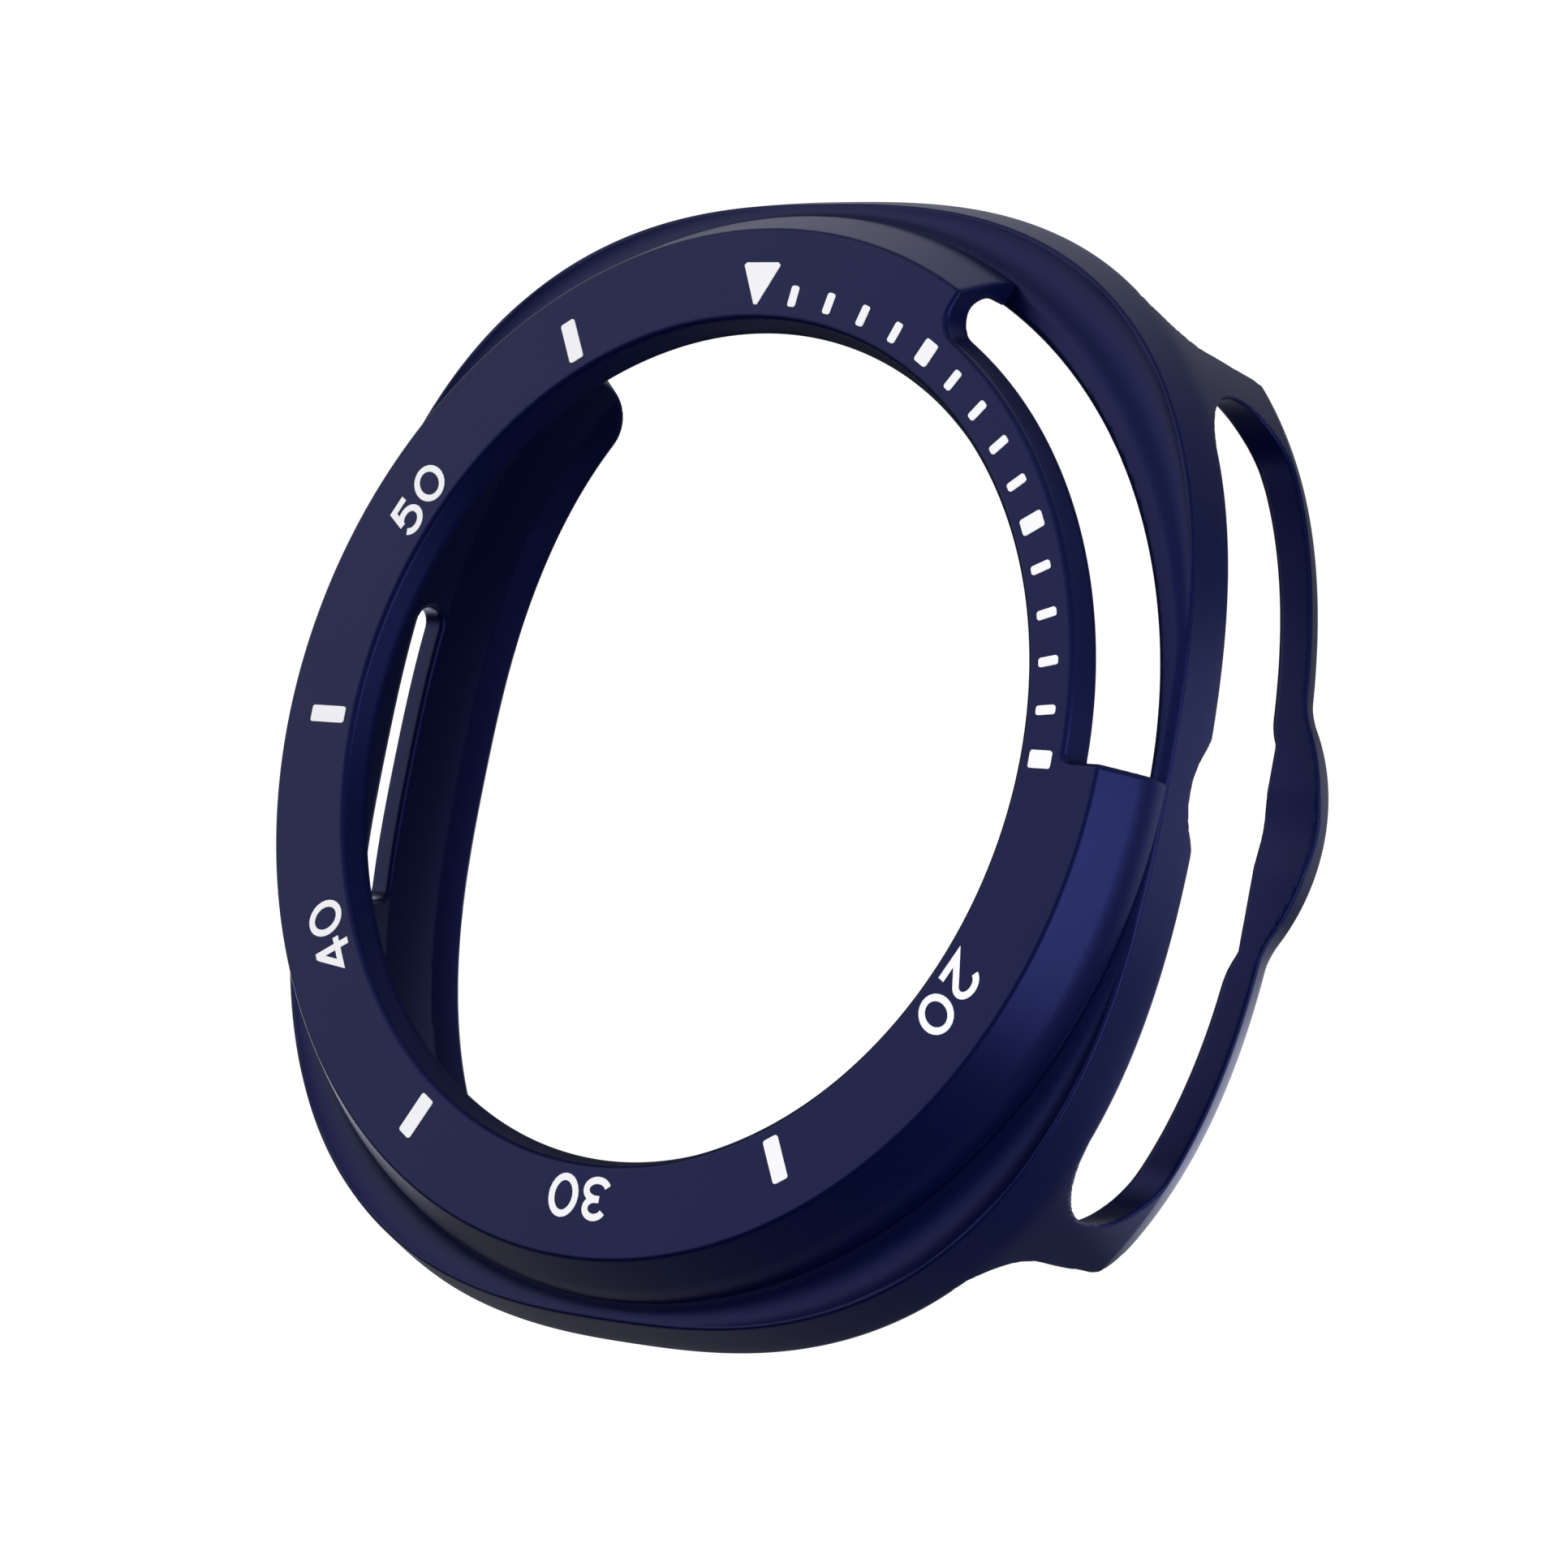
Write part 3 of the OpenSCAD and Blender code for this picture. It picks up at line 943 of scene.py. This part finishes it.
@dataclass
class Studio:
    """A white floor, soft lamps and the camera at the photograph's angle."""

    floor_z: float
    target: Vector = field(default_factory=lambda: Vector((0, 0, 0)))
    floor_bounce: float = 0.35
    floor_seen: float = 1.2
    floor_half: float = 3.0
    floor_roughness: float = 0.9
    # Painted reflection: the floor glows only in glossy rays, at this level, brighter behind the
    # case.
    floor_mirrored: float = 0.27
    mirrored_tint: tuple[float, float, float, float] = (0.8, 0.83, 1.0, 1.0)
    camera_share: float = 0.85
    glossy_share: float = 0.8
    floor_back: float = 2.2
    floor_back_start: float = 14
    floor_back_reach: float = 120
    # Painted shadow: under the case the glow seen in the gloss falls to a small share, fading back
    # out between these radii.
    under_r: float = 19
    clear_r: float = 23
    under_share: float = 0.12
    # Painted reflections: round glows on the floor that only the gloss mirrors.
    patches: tuple[Patch, ...] = (
        Patch((-42, -7), 16, 27, 3.2),
        Patch((38, 2), 6, 14, 2.2),
        Patch((25, -13), 4, 9, 2.2),
    )
    side_power: float = 0.115
    side_place: tuple[float, float, float] = (0.113, -0.022, 0.030)
    side_size: tuple[float, float] = (0.105, 0.05)
    lens_mm: float = 134.97
    sensor_mm: float = 36
    clip: tuple[float, float] = (0.01, 10)
    eye_mm: tuple[float, float, float] = (163.567, -38.162, 192.607)
    eye_right: tuple[float, float, float] = (0.7719, 0.1883, -0.6072)
    eye_back: tuple[float, float, float] = (0.6335, -0.1469, 0.7597)
    ambient: float = 0.0
    glows: tuple[Glow, ...] = (
        Glow((-0.63, 0.15, 0.76), 0.75, 1.96),
        Glow((0.93, -0.1, 0.3), 0.7, 0.67),
        Glow((0.4, 0.3, 0.86), 0.6, 0.4),
        Glow((0.0, 0.6, 0.8), 0.6, 0.93),
    )

    def spread(
        self,
        material: bpy.types.Material,
        place: bpy.types.NodeSocket,
        centre: tuple[float, float],
        radii: tuple[float, float],
        levels: tuple[float, float],
    ) -> bpy.types.NodeSocket:
        """Adds nodes for one level round a place on the floor that blends to another beyond it.

        Args:
            material: the floor's material.
            place: the socket that gives the position.
            centre: X and Y of the place in mm.
            radii: where the blend starts and ends, in mm from the centre.
            levels: the level inside the first radius and the one outside the second.

        Returns:
            The socket that gives the level.
        """
        nodes, links = material.node_tree.nodes, material.node_tree.links
        apart = nodes.new("ShaderNodeVectorMath")
        apart.operation = "DISTANCE"
        apart.inputs[1].default_value = (centre[0] * MM, centre[1] * MM, self.floor_z)
        blend = nodes.new("ShaderNodeMapRange")
        blend.inputs["From Min"].default_value = radii[0] * MM
        blend.inputs["From Max"].default_value = radii[1] * MM
        blend.inputs["To Min"].default_value = levels[0]
        blend.inputs["To Max"].default_value = levels[1]
        links.new(place, apart.inputs[0])
        links.new(apart.outputs["Value"], blend.inputs["Value"])
        return blend.outputs["Result"]

    def floor(self) -> None:
        """Lays a plain white floor under the guards' feet, which glows only in the plastic's gloss
        as a painted reflection, with a painted shadow in that glow under the case.
        """
        half, z = self.floor_half, self.floor_z
        mesh = bpy.data.meshes.new("floor")
        corners = [(-half, -half, z), (half, -half, z), (half, half, z), (-half, half, z)]
        mesh.from_pydata(corners, [], [(0, 1, 2, 3)])
        piece = bpy.data.objects.new("floor", mesh)
        bpy.context.scene.collection.objects.link(piece)
        material = bpy.data.materials.new("white_floor")
        material.use_nodes = True
        nodes, links = material.node_tree.nodes, material.node_tree.links
        matt = nodes["Principled BSDF"]
        matt.inputs["Base Color"].default_value = (self.floor_bounce,) * 3 + (1,)
        matt.inputs["Roughness"].default_value = self.floor_roughness
        matt.inputs["Specular IOR Level"].default_value = 0.0
        path = nodes.new("ShaderNodeLightPath")
        seen = nodes.new("ShaderNodeEmission")
        seen.inputs["Strength"].default_value = self.floor_seen
        # Painted reflection: an emission that only glossy rays see, brighter behind the case and at
        # the painted glows.
        mirrored = nodes.new("ShaderNodeEmission")
        mirrored.inputs["Color"].default_value = self.mirrored_tint
        place = nodes.new("ShaderNodeNewGeometry").outputs["Position"]
        axes = nodes.new("ShaderNodeSeparateXYZ")
        rise = nodes.new("ShaderNodeMapRange")
        rise.inputs["From Min"].default_value = self.floor_back_start * MM
        rise.inputs["From Max"].default_value = self.floor_back_reach * MM
        rise.inputs["To Min"].default_value = self.floor_mirrored
        rise.inputs["To Max"].default_value = self.floor_mirrored + self.floor_back
        links.new(place, axes.inputs[0])
        links.new(axes.outputs["Y"], rise.inputs["Value"])
        total = rise.outputs["Result"]
        for patch in self.patches:
            radii = (patch.full_r, patch.fade_r)
            add = nodes.new("ShaderNodeMath")
            bright = self.spread(material, place, patch.centre, radii, (patch.strength, 0))
            links.new(bright, add.inputs[0])
            links.new(total, add.inputs[1])
            total = add.outputs[0]
        # Painted shadow: the mirrored glow is darkened under the case.
        radii = (self.under_r, self.clear_r)
        under = self.spread(material, place, (0, 0), radii, (self.under_share, 1))
        shaded = nodes.new("ShaderNodeMath")
        shaded.operation = "MULTIPLY"
        links.new(total, shaded.inputs[0])
        links.new(under, shaded.inputs[1])
        links.new(shaded.outputs[0], mirrored.inputs["Strength"])
        source = matt.outputs[0]
        for ray, glow, share in (
            ("Is Camera Ray", seen, self.camera_share),
            ("Is Glossy Ray", mirrored, self.glossy_share),
        ):
            part = nodes.new("ShaderNodeMath")
            part.operation = "MULTIPLY"
            part.inputs[1].default_value = share
            mix = nodes.new("ShaderNodeMixShader")
            links.new(path.outputs[ray], part.inputs[0])
            links.new(part.outputs[0], mix.inputs[0])
            links.new(source, mix.inputs[1])
            links.new(glow.outputs[0], mix.inputs[2])
            source = mix.outputs[0]
        links.new(source, nodes["Material Output"].inputs["Surface"])
        dress(piece, material)

    def lamp(self, name: str, place: tuple[float, float, float], size: tuple, power: float) -> None:
        """Hangs one soft lamp that looks at the object.

        Args:
            name: the lamp's name.
            place: where it hangs.
            size: its width and height.
            power: radiant power in watts.
        """
        light = bpy.data.lights.new(name, "AREA")
        light.shape = "RECTANGLE"
        light.size, light.size_y = size
        light.energy = power
        lamp = bpy.data.objects.new(name, light)
        bpy.context.scene.collection.objects.link(lamp)
        lamp.location = place
        lamp.visible_camera = False
        lamp.rotation_mode = "QUATERNION"
        lamp.rotation_quaternion = (self.target - Vector(place)).to_track_quat("-Z", "Y")

    def world(self) -> None:
        """Fills the room with white light, brighter on its glowing sides."""
        world = bpy.data.worlds.new("studio_white")
        bpy.context.scene.world = world
        world.use_nodes = True
        nodes, links = world.node_tree.nodes, world.node_tree.links
        back = nodes["Background"]
        back.inputs["Color"].default_value = (1, 1, 1, 1)
        place = nodes.new("ShaderNodeTexCoord")
        total = None
        for glow in self.glows:
            along = nodes.new("ShaderNodeVectorMath")
            along.operation = "DOT_PRODUCT"
            along.inputs[1].default_value = Vector(glow.towards).normalized()
            fade = nodes.new("ShaderNodeMapRange")
            fade.interpolation_type = "SMOOTHSTEP"
            fade.inputs["From Min"].default_value = glow.edge
            fade.inputs["To Max"].default_value = glow.strength
            add = nodes.new("ShaderNodeMath")
            add.inputs[1].default_value = self.ambient
            links.new(place.outputs["Generated"], along.inputs[0])
            links.new(along.outputs["Value"], fade.inputs["Value"])
            links.new(fade.outputs["Result"], add.inputs[0])
            if total:
                links.new(total, add.inputs[1])
            total = add.outputs[0]
        path = nodes.new("ShaderNodeLightPath")
        mix = nodes.new("ShaderNodeMix")
        mix.inputs["B"].default_value = 1.0
        links.new(path.outputs["Is Camera Ray"], mix.inputs["Factor"])
        links.new(total, mix.inputs["A"])
        links.new(mix.outputs["Result"], back.inputs["Strength"])

    def camera(self) -> None:
        """Stands the camera where the photograph was taken from."""
        lens = bpy.data.cameras.new("photo_camera")
        lens.sensor_fit = "HORIZONTAL"
        lens.sensor_width = self.sensor_mm
        lens.lens = self.lens_mm
        lens.clip_start, lens.clip_end = self.clip
        camera = bpy.data.objects.new("photo_camera", lens)
        bpy.context.scene.collection.objects.link(camera)
        right = Vector(self.eye_right)
        back = Vector(self.eye_back).normalized()
        up = back.cross(right).normalized()
        right = up.cross(back)
        turn = Matrix((right, up, back)).transposed().to_4x4()
        camera.matrix_world = Matrix.Translation(Vector(self.eye_mm) * MM) @ turn
        bpy.context.scene.camera = camera

    def build(self) -> None:
        """Sets up the whole studio."""
        self.floor()
        self.lamp("side_strip", self.side_place, self.side_size, self.side_power)
        self.world()
        self.camera()
        bpy.context.scene.view_settings.view_transform = "Standard"


def main() -> None:
    """Builds the pieces in order, dresses them and sets up the studio."""
    logging.basicConfig(level=logging.INFO, format="%(name)s: %(message)s")
    navy, white = NAVY.material(), WHITE.material()
    for moulding in (GuardFrame(), BezelRing()):
        moulding.build(navy)
    for name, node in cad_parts.items():
        dress(node, navy if name in ("guard_frame", "bezel_ring") else white)
        LOG.info("node %s", name)
    DialNumerals().build(white)
    Studio(floor_z=CAD_BOX[0].z).build()


if __name__ == "__main__":
    main()
